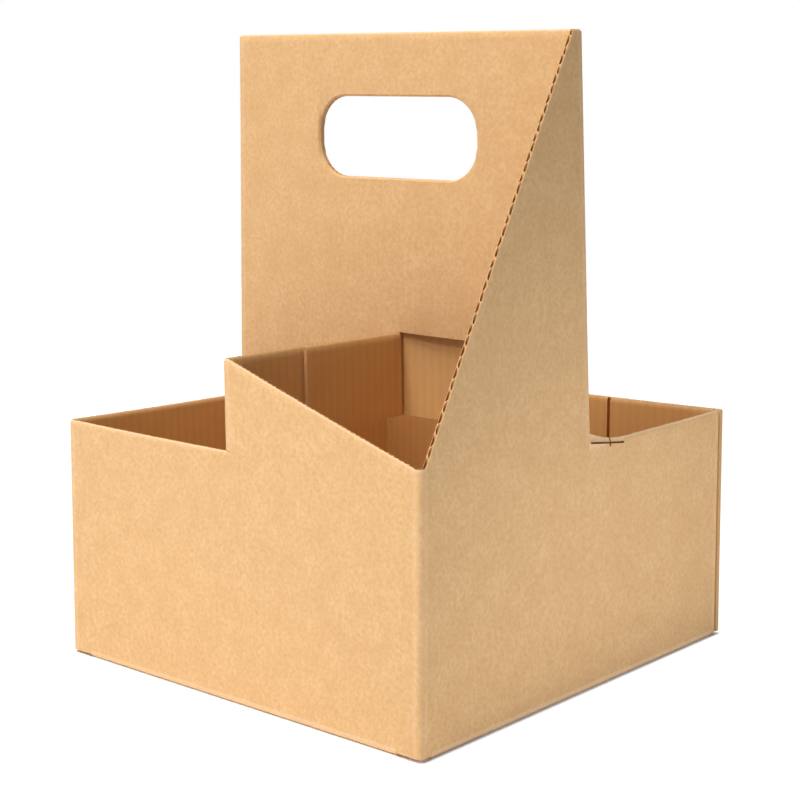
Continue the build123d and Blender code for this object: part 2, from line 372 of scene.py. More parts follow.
class Blank:
    """Blocks of board that are welded into one skin."""

    def __init__(self, board):
        self.board = board
        self.points, self.flat, self.rub_and_highlight, self.quads, self.kinds = [], [], [], [], []
        self.count = 0

    def add(self, flute, placed, rub_and_highlight, rows, solid, opened):
        """Adds the skin of the solid cells: columns across the flutes, layers, rows along the flutes."""
        n, levels, k, _ = placed.shape
        ids = self.count + np.arange(n * levels * k).reshape(n, levels, k)
        self.count += n * levels * k
        self.points.append(placed.reshape(-1, 3))
        flat = np.zeros((n, levels, k, 2))
        flat[..., 0] = flute[:, None, None]
        flat[..., 1] = rows[:, None, :]
        self.flat.append(flat.reshape(-1, 2))
        self.rub_and_highlight.append(np.broadcast_to(rub_and_highlight[:, None, :], (n, levels, k)).reshape(-1))
        along = placed[1:, :-1, :-1] - placed[:-1, :-1, :-1]
        through = placed[:-1, 1:, :-1] - placed[:-1, :-1, :-1]
        up = placed[:-1, :-1, 1:] - placed[:-1, :-1, :-1]
        right_handed = np.einsum("...i,...i", np.cross(along, through), up).sum() > 0
        solid = solid & ~opened
        full = np.pad(solid, 1)
        void = np.pad(opened, 1)
        corner = {
            0: ((0, 0, 0), (0, 1, 0), (0, 1, 1), (0, 0, 1)),
            1: ((0, 0, 0), (0, 0, 1), (1, 0, 1), (1, 0, 0)),
            2: ((0, 0, 0), (1, 0, 0), (1, 1, 0), (0, 1, 0)),
        }
        for axis in range(3):
            for side in (0, 1):
                shift = [1, 1, 1]
                shift[axis] += 1 if side else -1
                beside = tuple(slice(a, a + m) for a, m in zip(shift, solid.shape))
                bare = solid & ~full[beside]
                cells = np.argwhere(bare)
                into_void = void[beside][bare]
                step = np.zeros(3, int)
                step[axis] = side
                quad = np.stack([ids[tuple((cells + step + np.array(c)).T)] for c in corner[axis]], 1)
                if bool(side) != right_handed:
                    quad = quad[:, ::-1]
                kind = np.full(len(cells), EDGE)
                if axis == 1:
                    kind[:] = POCKET
                    kind[(cells[:, 1] == OUTER_LINER) & (side == 1)] = OUTER
                    kind[(cells[:, 1] == INNER_LINER) & (side == 0)] = INNER
                kind[into_void] = POCKET
                self.quads.append(quad)
                self.kinds.append(kind)

    def mesh(self, name, shape):
        """Welds the blocks, drops the faces between them and makes the mesh."""
        points = np.concatenate(self.points)
        flat = np.concatenate(self.flat)
        rub_and_highlight = np.concatenate(self.rub_and_highlight)
        quads = np.concatenate(self.quads)
        kinds = np.concatenate(self.kinds)
        spots = np.round(points / WELD).astype(np.int64)
        _, first, weld = np.unique(spots, axis=0, return_index=True, return_inverse=True)
        welded = weld.reshape(-1)[quads]
        ordered = np.sort(welded, 1)
        _, group, count = np.unique(ordered, axis=0, return_inverse=True, return_counts=True)
        distinct = 1 + (np.diff(ordered, axis=1) > 0).sum(1)
        keep = (distinct >= 3) & (count[group.reshape(-1)] == 1)
        quads, kinds = quads[keep], kinds[keep]
        used, welded = np.unique(welded[keep], return_inverse=True)
        welded, first = welded.reshape(-1, 4), first[used]
        faces, corners = [], []
        for face, raw in zip(welded.tolist(), quads.tolist()):
            used = [i for i in range(4) if face[i] != face[i - 1]]
            faces.append([face[i] for i in used])
            corners.extend(raw[i] for i in used)
        mesh = bpy.data.meshes.new(name)
        mesh.from_pydata(shape(points[first]), [], faces)
        mesh.polygons.foreach_set("material_index", kinds.astype(np.int32))
        mesh.polygons.foreach_set("use_smooth", np.ones(len(faces), bool))
        uv = mesh.uv_layers.new(name="sheet")
        uv.data.foreach_set("uv", flat[corners].astype(np.float32).ravel())
        # Per-point share of pale rub and painted highlight.
        attribute = mesh.attributes.new("rub_and_highlight", "FLOAT", "POINT")
        attribute.data.foreach_set("value", rub_and_highlight[first].astype(np.float32))
        mesh.set_sharp_from_angle(angle=SHARP)
        mesh.update()
        return mesh


def column_range(values, start, end):
    """Which intervals between neighbouring values lie from start to end."""
    middle = (values[1:] + values[:-1]) / 2
    return (middle > start) & (middle < end)


def beside(columns):
    """Which of the values between intervals touch one of these intervals."""
    values = np.zeros(len(columns) + 1, bool)
    values[:-1] |= columns
    values[1:] |= columns
    return values


def free_end(route, s, board):
    """Wear towards the route's last end, a lightly crushed cut edge."""
    return FREE_END_CRUSH * np.clip(1 - (route.length - s) / board.rim, 0, 1)


def all_board(rows):
    """Cells between the columns, layers and rows: which hold board, here all, and which are opened."""
    solid = np.ones((rows.shape[0] - 1, LAYERS, rows.shape[1] - 1), bool)
    return solid, np.zeros_like(solid)


def open_voids(opened, offsets, columns, rows, share=CRUSHED_CUT):
    """Opens the flutes of these columns and rows where they are wide, and never at a free end."""
    for layer in (LOWER_VOID, UPPER_VOID):
        gap = offsets[:, layer + 1] - offsets[:, layer]
        wide = gap > share * gap.max()
        hollow = wide[1:] & wide[:-1] & columns
        hollow[[0, -1]] = False
        opened[hollow, layer, rows] = True


def uneven(flute, seed):
    """Smooth unevenness from -1 to 0 along a cut, the same on every run."""
    u = flute / MM
    waves = np.sin(u * 1.31 + seed) + np.sin(u * 2.47 + 2.1 * seed) + np.sin(u * 0.53 + 0.7 * seed)
    return waves / 6 - 0.5


class Carrier:
    """Plan of the folded carrier, worked out from its sizes."""

    def __init__(self, scene):
        self.board, self.cut, self.wear = scene.carrier_board, scene.carrier_cut, scene.carrier_wear
        board, cut = self.board, self.cut
        half = board.thickness / 2
        self.half = half
        self.fold = board.bend + half
        self.outer_bend = board.bend + board.thickness
        self.end_x = HALF_WIDTH - self.outer_bend
        self.end_y = HALF_DEPTH - self.outer_bend
        self.lap_end = self.end_y - board.thickness
        arc = QUARTER * self.fold
        lap_run = self.end_x - (HALF_WIDTH - cut.lap)
        sides = [lap_run, self.lap_end + self.end_y, 2 * self.end_x, 2 * self.end_y]
        runs = [step for run in sides for step in (run, "right")] + [self.end_x + HALF_WIDTH]
        self.ring = Route((HALF_WIDTH - cut.lap, self.lap_end + self.fold), 0, runs, self.fold)
        starts = self.ring.ends()
        self.right = starts[2] - board.thickness
        self.front = starts[4]
        self.left = starts[6]
        self.back = starts[8]
        self.handle_at = self.right + self.end_y
        self.side_seam = self.end_y + board.bend + cut.land
        self.front_seam = self.end_x - board.bend - cut.land
        self.hole_middle = HANDLE_TOP - cut.hole_drop
        self.flap_top = 8 * MM
        low, deep, rim = cut.wall, cut.wall - board.pocket, board.rim
        between = low - (board.pocket + rim) / 2
        self.low_rows = np.array([self.flap_top, 30 * MM, 55 * MM, 78 * MM, deep, between, low - rim, low])
        straight = cut.hole_height / 2 - cut.hole_radius
        under, over = self.hole_middle - straight, self.hole_middle + straight
        edge = 5 * MM
        self.high_rows = np.array(
            [
                low,
                low + 14 * MM,
                cut.divider - board.pocket,
                cut.divider,
                cut.divider + rim,
                cut.divider + 24 * MM,
                cut.divider + 46 * MM,
                under - edge,
                under - board.press,
                under,
                over,
                over + board.press,
                over + edge,
                HANDLE_TOP - board.pocket,
                HANDLE_TOP - rim,
                HANDLE_TOP,
            ]
        )
        notch = cut.strap - board.bend + arc
        self.notch_end = board.bend - notch
        self.lap_groove = [1.4 * MM, 3.0 * MM]

    def raised_rows(self, top):
        """Rows above the walls' level part, for columns whose tops are given."""
        rows = self.high_rows
        low = self.cut.wall
        floor = top - np.minimum(self.board.pocket, 0.8 * (top - low))
        below = low + (rows[:-2] - low)[None, :] * ((floor - low) / (rows[-3] - low))[:, None]
        return np.concatenate([below, (top - self.board.rim)[:, None], top[:, None]], 1)

    def push_apart(self, placed, turn):
        """Moves a ply or strap off the middle plane where the folded strap springs back."""
        side = -1 if turn else 1
        x, y, z = (placed[..., 0] * side, np.abs(placed[..., 1]), placed[..., 2])
        across = smooth(-x / SPRING_START) * smooth((HALF_WIDTH + x) / SPRING_END)
        up = (z - self.cut.divider) / SPRING_HEIGHT
        away = np.clip(1 - (y - SPRING_NEAR) / SPRING_REACH, 0, 1)
        placed[..., 1] += side * self.wear.spring * across * np.exp(-(up**2)) * away

    def front_slant(self, p):
        """Top of the front or rear wall's raised half, p from its corner fold."""
        rise = self.cut.divider - self.cut.corner
        return self.cut.corner + rise * np.clip(p / (self.end_x - self.board.bend), 0, 1)

    def side_slant(self, p):
        """Top of a side wall's raised half, p from its far corner fold."""
        share = np.clip((2 * self.end_y - p) / (2 * self.end_y - self.side_seam), 0, 1)
        return self.cut.corner + (HANDLE_TOP - self.cut.corner) * share

    def shape(self, points):
        """Moves points as the folded board has settled, always inwards or down."""
        wear = self.wear
        x, y, z = points[:, 0].copy(), points[:, 1].copy(), points[:, 2].copy()
        across, along = x / HALF_WIDTH, y / HALF_DEPTH
        level = np.clip(z / self.cut.wall, 0, 1)
        high = np.clip((z - self.cut.wall) / (HANDLE_TOP - self.cut.wall), 0, 1)
        to_right = (across + 1) / 2
        dip = wear.front_dip * (1 - across**2) * along**2 + wear.side_dip * (1 - along**2) * across**2
        belly = np.sin(math.pi * level) * wear.bow
        ripple = RIPPLE * np.sin(x / (31 * MM) + 0.6) * np.sin(z / (44 * MM) + 0.3)
        new_x = x - wear.lean * high**LEAN_POWER * to_right + wear.left_lean * high * (1 - to_right)
        new_x -= across**3 * belly * np.cos(along * QUARTER) ** 2
        new_y = y - along**3 * belly * np.cos(across * QUARTER) ** 2
        new_y += ripple * np.clip(high * 3, 0, 1) * (1 - along**2)
        drooping = LEFT_DROOP + (1 - LEFT_DROOP) * to_right
        new_z = z - dip * level * (1 - high) - wear.droop * high**DROOP_POWER * drooping
        return np.stack([new_x, new_y, new_z], 1)


def wall_blocks(blank, plan):
    """The four walls and the glue lap, as one ring of board that starts at the lap."""
    ring, board, cut, wear = plan.ring, plan.board, plan.cut, plan.wear
    s = plan_stations(plan)
    flute = ring.sheet(s)
    offsets = layers(flute, board)
    n = len(s)
    count = len(plan.low_rows)
    rim_row, slit_row, deep_row = count - 2, count - 3, count - 4
    rows = np.zeros((n, count + len(plan.high_rows) - 1))
    rows[:, :count] = plan.low_rows
    top = np.full(n, cut.corner)
    raised = np.zeros(n - 1, bool)
    seam = np.zeros(n - 1, bool)
    slanted = np.zeros(n - 1, bool)
    for side, front in ((plan.right, plan.front), (plan.left, plan.back)):
        on_side = (s >= side) & (s <= side + 2 * plan.end_y)
        top[on_side] = plan.side_slant(s[on_side] - side)
        on_front = (s >= front) & (s <= front + plan.end_x)
        top[on_front] = plan.front_slant(s[on_front] - front)
        raised |= column_range(s, side + plan.side_seam, front + plan.front_seam)
        slanted |= column_range(s, side + plan.side_seam, front)
        seam |= column_range(s, side + plan.side_seam - cut.land, side + plan.side_seam)
        seam |= column_range(s, front + plan.front_seam, front + plan.front_seam + cut.land)
    fuzz = uneven(flute, 1.7) * board.fuzz
    rows[:, count - 1 :] = plan.raised_rows(top)
    rows[:, -1] += fuzz
    low = ~(raised | seam)
    low_cut = beside(low)
    rows[low_cut, count - 1] += fuzz[low_cut]
    from_handle = plan.handle_at - s
    near = (from_handle >= -board.bend) & (from_handle <= wear.slit_length)
    filleted = near & low_cut & ~beside(seam)
    rise = wear.fillet * (1 - np.maximum(from_handle, 0) / wear.slit_length) ** 2
    rows[filleted, count - 1] += rise[filleted]
    slit_ends = [wear.slit_start, wear.slit_length]
    middle = cut.wall + np.interp(from_handle, slit_ends, [wear.slit_high, -wear.slit_low])
    rows[near, slit_row] = middle[near] - wear.slit / 2
    rows[near, rim_row] = middle[near] + wear.slit / 2
    crushed = np.zeros(rows.shape)
    crushed[low_cut, count - 1] = 1
    crushed[beside(raised), -1] = 1
    crushed[beside(raised & slanted), -1] = SLANT_CRUSH
    solid, opened = all_board(rows)
    solid[~raised, :, count - 1 :] = False
    open_voids(opened, offsets, low, slice(deep_row, count - 1))
    open_voids(opened, offsets, raised & ~slanted, slice(-2, None))
    open_voids(opened, offsets, raised & slanted, slice(-2, None), PLAIN_CUT)
    slit = column_range(s, plan.handle_at - wear.slit_length, plan.handle_at - wear.slit_start)
    opened[slit, LOWER_VOID:, slit_row] = True
    nick = column_range(s, plan.handle_at - wear.nick - wear.slit, plan.handle_at - wear.nick)
    opened[nick, LOWER_VOID:, slit_row : count - 1] = True
    rows[beside(nick), slit_row] -= 1.5 * wear.slit
    groove = column_range(s, *plan.lap_groove)
    opened[groove, :OUTER_LINER, : count - 1] = True
    placed, rub_and_highlight = upright(ring, s, offsets, rows, crushed, board)
    # Pale lip under the slit, fading away from the handle: torn paper with painted highlight.
    lip = (from_handle >= 0) & (from_handle <= wear.nick)
    rub_and_highlight[lip, slit_row] = 1 - from_handle[lip] / wear.nick
    blank.add(flute, placed, rub_and_highlight, rows, solid, opened)
    skirt_blocks(blank, plan, s)


def hinges(plan):
    """Start and end of each bottom flap's fold along the ring, with its kind."""
    cut = plan.cut
    side_in = plan.outer_bend
    main_in = cut.side_rise + 0.6 * MM
    found = []
    for side, front in ((plan.right, plan.front), (plan.left, plan.back)):
        found.append((side + side_in, side + 2 * plan.end_y - side_in, "side", side))
        found.append((front + main_in, front + 2 * plan.end_x - main_in, "main", front))
    return found


def plan_stations(plan):
    """Columns of the ring, with everything that starts or ends between them."""
    cut, wear = plan.cut, plan.wear
    marks = list(plan.ring.ends())
    for start, end, kind, panel in hinges(plan):
        marks += [start, end]
        if kind == "side":
            taper = cut.side_taper
            marks += [start + taper / 4, end - taper]
            marks += [panel + plan.side_seam, panel + plan.side_seam - cut.land]
        else:
            middle = panel + plan.end_x
            marks += [middle - cut.tab_start - cut.tab_width, middle - cut.tab_start]
            marks += [middle - cut.seam_slant, middle + cut.seam_slant]
            marks += [panel + plan.front_seam, panel + plan.front_seam + cut.land]
    from_handle = (wear.slit_length, wear.nick + wear.slit, wear.nick, wear.slit_start, 0)
    marks += [plan.handle_at - distance for distance in from_handle]
    marks += plan.lap_groove
    return stations(0, plan.ring.length, marks, plan.board.station)


def skirt_blocks(blank, plan, s):
    """Lower edges of the walls beside the bottom flaps."""
    cut = plan.cut
    lap_end = plan.ring.ends()[1]
    starts = [0.0, lap_end] + [hinge[1] for hinge in hinges(plan)]
    ends = [lap_end] + [hinge[0] for hinge in hinges(plan)] + [plan.ring.length]
    for start, end in zip(starts, ends):
        skirt(blank, plan, s[within(s, start, end)], cut.lap_lift if end == lap_end else cut.relief)


def skirt(blank, plan, s, bottom):
    """One stretch of a wall's lower edge."""
    if len(s) < 2:
        return
    flute = plan.ring.sheet(s)
    offsets = layers(flute, plan.board)
    rows = np.tile([bottom, plan.flap_top], (len(s), 1))
    placed, rub_and_highlight = upright(plan.ring, s, offsets, rows, np.zeros(rows.shape), plan.board)
    blank.add(flute, placed, rub_and_highlight, rows, *all_board(rows))


def flap_rows(plan, reach, shares):
    """Rows of a bottom flap: down the wall, round the fold and inwards to its reach."""
    hinge = plan.outer_bend
    arc = QUARTER * plan.fold
    bend = hinge - np.linspace(0, 1, FOLD_ROWS) * arc
    floor = reach - np.minimum(plan.board.pocket, 0.8 * reach)
    inward = hinge - arc - np.concatenate([floor[:, None] * np.array(shares)[None, :], reach[:, None]], 1)
    fixed = np.tile(np.concatenate([[plan.flap_top], bend]), (len(reach), 1))
    return np.concatenate([fixed, inward], 1)


def smooth_rise(run, height, start=0.0):
    """Lift that rises smoothly by height over run."""

    def lift(inward):
        return height * smooth((inward - start) / run)

    return lift


def bottom_block(blank, plan, s, reach, shares, lift, ends_here=True):
    """One stretch of a bottom flap whose reach is given for each column."""
    flute = plan.ring.sheet(s)
    offsets = layers(flute, plan.board)
    rows = flap_rows(plan, reach, shares)
    solid, opened = all_board(rows)
    if ends_here:
        open_voids(opened, offsets, True, -1)
    placed, rub_and_highlight = folded_under(plan.ring, s, offsets, rows, lift)
    blank.add(flute, placed, rub_and_highlight, rows, solid, opened)


def bottom_blocks(blank, plan):
    """Two main flaps with their lock tabs, and two side flaps on top of them."""
    cut, board = plan.cut, plan.board
    columns = plan_stations(plan)
    side_reach = plan.end_x - cut.tab_start - cut.tab_width - cut.side_gap
    far = plan.end_y + cut.seam_step - cut.seam_gap / 2
    near = plan.end_y - cut.seam_step - cut.seam_gap / 2
    foot = far - cut.tab_rise
    for start, end, kind, panel in hinges(plan):
        here = columns[within(columns, start, end)]
        if kind == "side":
            at = [start, start + cut.side_taper / 4, end - cut.side_taper, end]
            reach = np.interp(here, at, [cut.side_rise, side_reach, side_reach, cut.side_rise])
            shares = [0.05, 0.1, 0.15, 0.2, 0.6, 1]
            bottom_block(blank, plan, here, reach, shares, smooth_rise(cut.side_rise, board.thickness))
            continue
        middle = panel + plan.end_x
        tab_start, tab_end = middle - cut.tab_start - cut.tab_width, middle - cut.tab_start
        flat = smooth_rise(1, 0)
        for a, b in ((start, tab_start), (tab_start, tab_end), (tab_end, end)):
            part = here[within(here, a, b)]
            reach = np.interp(part, [middle - cut.seam_slant, middle + cut.seam_slant], [far, near])
            if a == tab_start:
                reach = np.full(len(part), foot)
                lock_tab(blank, plan, part, foot, far + cut.seam_gap / 2 + cut.tab_reach)
            bottom_block(blank, plan, part, reach, [0.3, 0.7, 1], flat, a != tab_start)


def lock_tab(blank, plan, s, foot, tip):
    """Tab that rises from a main flap and lies over the edge of the other one."""
    cut, board = plan.cut, plan.board
    flute = plan.ring.sheet(s)
    offsets = layers(flute, board)
    run = np.array([0, 1.5, 3, 4.5, 6]) / 6 * cut.tab_rise
    inward = np.concatenate([foot + run, [tip - board.pocket, tip]])
    rows = np.tile(plan.outer_bend - QUARTER * plan.fold - inward, (len(s), 1))
    solid, opened = all_board(rows)
    open_voids(opened, offsets, True, -1)
    lift = smooth_rise(cut.tab_rise, board.thickness, foot)
    placed, _ = folded_under(plan.ring, s, offsets, rows, lift)
    blank.add(flute, placed, np.zeros(rows.shape), rows, solid, opened)


def turned(point, turn):
    """The point, or its place after half a turn about the middle."""
    return (-point[0], -point[1]) if turn else point


def hole_rim(plan, across, up):
    """Nearness to the hand hole's cut edge, from 0 to 1, for places measured from the hole's centre."""
    cut = plan.cut
    x = np.abs(across) - (cut.hole_width / 2 - cut.hole_radius)
    z = np.abs(up) - (cut.hole_height / 2 - cut.hole_radius)
    outside = np.hypot(np.maximum(x, 0), np.maximum(z, 0)) + np.minimum(np.maximum(x, z), 0)
    return np.clip(1 - np.abs(outside - cut.hole_radius) / plan.board.press, 0, 1)


def handle_blocks(blank, plan):
    """The two plies of the handle, each folded from a side wall."""
    board, cut = plan.board, plan.cut
    seam_in = board.bend + cut.land
    for turn, side in ((0, plan.right), (1, plan.left)):
        start = turned((HALF_WIDTH - plan.half, -seam_in), turn)
        run = plan.end_x + HALF_WIDTH - board.thickness - cut.clearance
        flute = plan.ring.sheet(side + plan.side_seam)
        route = Route(start, 90 + 180 * turn, [cut.land, "left", run], plan.fold, flute, -1, -1)
        middle = route.ends()[2] + plan.end_x
        radius, half_width = cut.hole_radius, cut.hole_width / 2
        straight = half_width - radius
        bends = [straight + radius * math.sin(a) for a in np.linspace(0, QUARTER, HOLE_POINTS)]
        marks = route.ends() + [middle - b for b in bends] + [middle + b for b in bends]
        marks += [middle - seam_in, middle - board.bend, middle - plan.notch_end]
        s = stations(0, route.length, marks, board.station)
        offsets = layers(route.sheet(s), board)
        rows = np.tile(plan.high_rows, (len(s), 1))
        out = np.clip(np.abs(s - middle), 0, half_width)
        rise = np.sqrt(np.maximum(radius**2 - np.maximum(out - straight, 0) ** 2, 0))
        rows[:, UNDER_HOLE - 2 : UNDER_HOLE + 1] -= rise[:, None]
        rows[:, UNDER_HOLE + 1 : UNDER_HOLE + 4] += rise[:, None]
        rows[:, -1] += uneven(route.sheet(s), 4.1 + turn) * board.fuzz
        pinch = hole_rim(plan, (s - middle)[:, None], rows - plan.hole_middle)
        pinch[:, : UNDER_HOLE - 1] = 0
        pinch[:, UNDER_HOLE + 3 :] = 0
        crushed = np.zeros(rows.shape)
        crushed[:, -1] = 1
        crushed = np.maximum(crushed, free_end(route, s, board)[:, None])
        solid, opened = all_board(rows)
        cut_out = column_range(s, middle - seam_in, middle - plan.notch_end)
        solid[cut_out, :, :DIVIDER_ROW] = False
        hole = column_range(s, middle - half_width, middle + half_width)
        solid[hole, :, UNDER_HOLE] = False
        open_voids(opened, offsets, True, slice(-2, None))
        wide = column_range(s, middle - half_width + HOLE_CLEAR, middle + half_width - HOLE_CLEAR)
        open_voids(opened, offsets, wide, slice(UNDER_HOLE - 2, UNDER_HOLE))
        open_voids(opened, offsets, wide, slice(UNDER_HOLE + 1, UNDER_HOLE + 3))
        placed, rub_and_highlight = upright(route, s, offsets, rows, crushed, board)
        placed[..., 1] *= 1 - (1 - board.pinch) * pinch[:, None, :]
        plan.push_apart(placed, turn)
        blank.add(route.sheet(s), placed, rub_and_highlight, rows, solid, opened)


def divider_blocks(blank, plan):
    """The straps folded back from the handle and the flaps folded back from the walls."""
    board, cut = plan.board, plan.cut
    seam_in = board.bend + cut.land
    for turn, side, front in ((0, plan.right, plan.front), (1, plan.left, plan.back)):
        heading = 180 + 180 * turn
        to_seam = cut.land + QUARTER * plan.fold + plan.end_x - seam_in
        flute = plan.ring.sheet(side + plan.side_seam) - to_seam
        start = turned((seam_in, plan.half), turn)
        run = board.thickness + cut.strap - plan.outer_bend
        strap = Route(start, heading, [cut.land, "right", run], plan.fold, flute, -1, -1)
        s = stations(0, strap.length, strap.ends(), board.station)
        heights = np.insert(plan.high_rows[: DIVIDER_ROW + 1], DIVIDER_ROW, cut.divider - board.rim)
        rows = np.tile(heights, (len(s), 1))
        free = s > cut.land + SLACK
        rows[free, -1] += uneven(strap.sheet(s[free]), 2.9) * board.fuzz
        upright_strip(blank, plan, strap, s, rows, free, turn)
        start = turned((seam_in, plan.half - HALF_DEPTH), turn)
        run = cut.flap - plan.outer_bend
        flute = plan.ring.sheet(front + plan.front_seam)
        flap = Route(start, heading, [cut.land, "right", run], plan.fold, flute, 1, 1)
        s = stations(0, flap.length, flap.ends(), board.station)
        corner = plan.front_slant(np.array([plan.front_seam, plan.front_seam + cut.land]))
        rows = plan.raised_rows(np.interp(s, flap.ends()[:2], corner))
        rows[s > cut.land + SLACK, 0] += cut.flap_gap
        rows[:, -1] += uneven(flap.sheet(s), 1.7) * board.fuzz
        upright_strip(blank, plan, flap, s, rows, np.ones(len(s), bool), None)


def upright_strip(blank, plan, route, s, rows, free, turn):
    """A strap or flap: a little of the panel that it folds from, the fold, and its own length."""
    board = plan.board
    offsets = layers(route.sheet(s), board)
    crushed = np.zeros(rows.shape)
    crushed[free, -1] = 1
    crushed = np.maximum(crushed, free_end(route, s, board)[:, None])
    solid, opened = all_board(rows)
    open_voids(opened, offsets, free[1:] & free[:-1], slice(-2, None))
    placed, rub_and_highlight = upright(route, s, offsets, rows, crushed, board)
    if turn is not None:
        plan.push_apart(placed, turn)
    blank.add(route.sheet(s), placed, rub_and_highlight, rows, solid, opened)


def make_piece(context, name, blocks):
    """Builds one part of the folded sheet and gives it its finishes."""
    plan = Carrier(context.scene)
    blank = Blank(plan.board)
    blocks(blank, plan)
    piece = bpy.data.objects.new(name, blank.mesh(name, plan.shape))
    context.scene.collection.objects.link(piece)
    for material in finishes(context.scene.carrier_finish):
        piece.data.materials.append(material)
    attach(piece, "root")
    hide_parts(NODE)
    return piece


def add_node(tree, kind, links=None, **settings):
    """A shader node with its inputs set or linked by name or number."""
    node = tree.nodes.new("ShaderNode" + kind)
    for key, value in settings.items():
        setattr(node, key, value)
    for socket, value in (links or {}).items():
        if isinstance(value, bpy.types.NodeSocket):
            tree.links.new(value, node.inputs[socket])
        else:
            node.inputs[socket].default_value = value
    return node


def math_node(tree, operation, a, b=0.0, c=0.0, clamp=False):
    """Result of a calculation on up to three values."""
    return add_node(tree, "Math", {0: a, 1: b, 2: c}, operation=operation, use_clamp=clamp).outputs[0]


def noise(tree, place, scale=1.0, detail=1.0, roughness=0.5):
    """Cloudy noise at a place, from 0 to 1."""
    links = {"Vector": place, "Scale": scale, "Detail": detail, "Roughness": roughness}
    return add_node(tree, "TexNoise", links).outputs["Fac"]


def ramp(tree, value, low, high, most):
    """Share that rises from 0 to most as the value goes from low to high."""
    return add_node(tree, "MapRange", {0: value, 1: low, 2: high, 3: 0.0, 4: most}).outputs[0]


def placed_group(tree, name, inputs, fill, **values):
    """Outputs of a shader group placed with its own values. Fill builds the group on first use."""
    group = bpy.data.node_groups.get(name)
    if group is None:
        group = bpy.data.node_groups.new(name, "ShaderNodeTree")
        for socket, default in inputs.items():
            made = group.interface.new_socket(socket, in_out="INPUT", socket_type="NodeSocketFloat")
            made.default_value = default
        results = fill(group, group.nodes.new("NodeGroupInput").outputs)
        for socket in results:
            group.interface.new_socket(socket, in_out="OUTPUT", socket_type="NodeSocketFloat")
        leave = group.nodes.new("NodeGroupOutput")
        for socket, value in results.items():
            group.links.new(value, leave.inputs[socket])
    node = add_node(tree, "Group", node_tree=group)
    for socket, value in values.items():
        node.inputs[socket.replace("_", " ")].default_value = value
    return node.outputs


def fill_clouds(group, given):
    """Cloudy unevenness and specks of kraft paper, from 0 to 1."""
    place = add_node(group, "TexCoord").outputs["Object"]
    coarse = math_node(group, "DIVIDE", 1.0, given["Cloud size"])
    fine = math_node(group, "DIVIDE", 1.0, given["Speck size"])
    return {"Clouds": noise(group, place, coarse, 4.0, 0.6), "Specks": noise(group, place, fine, 2.0, 0.55)}


def fill_fibres(group, given):
    """Short fibres that lie in three directions of the sheet, from 0 to 1, and their height."""
    sheet = add_node(group, "UVMap", uv_map="sheet").outputs[0]
    total = 0.0
    for number, angle in enumerate((0.25, 1.3, 2.4)):
        links = {"Vector": sheet, "Angle": angle}
        spun = add_node(group, "VectorRotate", links, rotation_type="Z_AXIS").outputs[0]
        parts = add_node(group, "SeparateXYZ", {0: spun}).outputs
        along = math_node(group, "DIVIDE", parts[0], given["Fibre length"])
        across = math_node(group, "DIVIDE", parts[1], given["Fibre width"])
        place = add_node(group, "CombineXYZ", {0: along, 1: across, 2: 7.3 * number}).outputs[0]
        total = math_node(group, "ADD", noise(group, place), total)
    mean = math_node(group, "DIVIDE", total, 3.0)
    return {"Fibres": ramp(group, mean, 0.36, 0.64, 1.0), "Height": mean}


def fill_lines(group, given):
    """Lines where the flutes show through a liner, from 0 to 1."""
    sheet = add_node(group, "UVMap", uv_map="sheet").outputs[0]
    parts = add_node(group, "SeparateXYZ", {0: sheet}).outputs
    turns = math_node(group, "DIVIDE", parts[0], given["Pitch"])
    wave = math_node(group, "COSINE", math_node(group, "MULTIPLY", turns, 2 * math.pi))
    lifted = math_node(group, "MULTIPLY_ADD", wave, 0.5, 0.5)
    across = math_node(group, "MULTIPLY", parts[0], 420.0)
    up = math_node(group, "MULTIPLY", parts[1], 9.0)
    place = add_node(group, "CombineXYZ", {0: across, 1: up}).outputs[0]
    drift = noise(group, place, 1.0, 3.0)
    return {"Lines": add_node(group, "Mix", {0: given["Blur"], 2: lifted, 3: drift}).outputs[0]}


def paper_clouds(tree, cloud_size, speck_size):
    """Clouds and specks of these sizes in a material."""
    inputs = {"Cloud size": 0.012, "Speck size": 0.0022}
    sizes = {"Cloud_size": cloud_size, "Speck_size": speck_size}
    return placed_group(tree, "Paper clouds", inputs, fill_clouds, **sizes)


def paper_fibres(tree):
    """Fibres of the paper in a material."""
    return placed_group(tree, "Paper fibres", {"Fibre length": 0.0022, "Fibre width": 0.0003}, fill_fibres)


def flute_lines(tree, blur):
    """Lines of the flutes in a material, mixed with uneven streaks by the blur."""
    return placed_group(tree, "Flute lines", {"Pitch": 0.0044, "Blur": 0.3}, fill_lines, Blur=blur)


def mix_colour(tree, factor, a, b):
    """Two colours mixed by a factor."""
    node = add_node(tree, "Mix", data_type="RGBA")
    for socket, value in ((node.inputs[0], factor), (node.inputs[6], a), (node.inputs[7], b)):
        if isinstance(value, bpy.types.NodeSocket):
            tree.links.new(value, socket)
        else:
            socket.default_value = value
    return node.outputs[2]


def paper_material(name):
    """A new node material with a rough paper shader."""
    material = bpy.data.materials.new(name)
    material.use_nodes = True
    tree = material.node_tree
    shader = tree.nodes["Principled BSDF"]
    shader.inputs["Roughness"].default_value = PAPER_ROUGHNESS
    shader.inputs["Specular IOR Level"].default_value = PAPER_GLOSS
    return material, tree, shader


def paint(tree, shader, first, coats, height, distance):
    """Lays coats of colour over the first by their shares, and raises the surface by a height."""
    base = first[:]
    for share, coat in coats:
        base = mix_colour(tree, share, base, coat[:])
    tree.links.new(base, shader.inputs["Base Color"])
    bump = add_node(tree, "Bump", {"Height": height, "Distance": distance, "Strength": 1.0})
    tree.links.new(bump.outputs[0], shader.inputs["Normal"])


def rub_and_highlight_share(tree, share):
    """Rub of the folds and cut edges with painted highlight on them, from 0 to a share."""
    worn = add_node(tree, "Attribute", attribute_name="rub_and_highlight").outputs["Fac"]
    return math_node(tree, "MULTIPLY", worn, share)


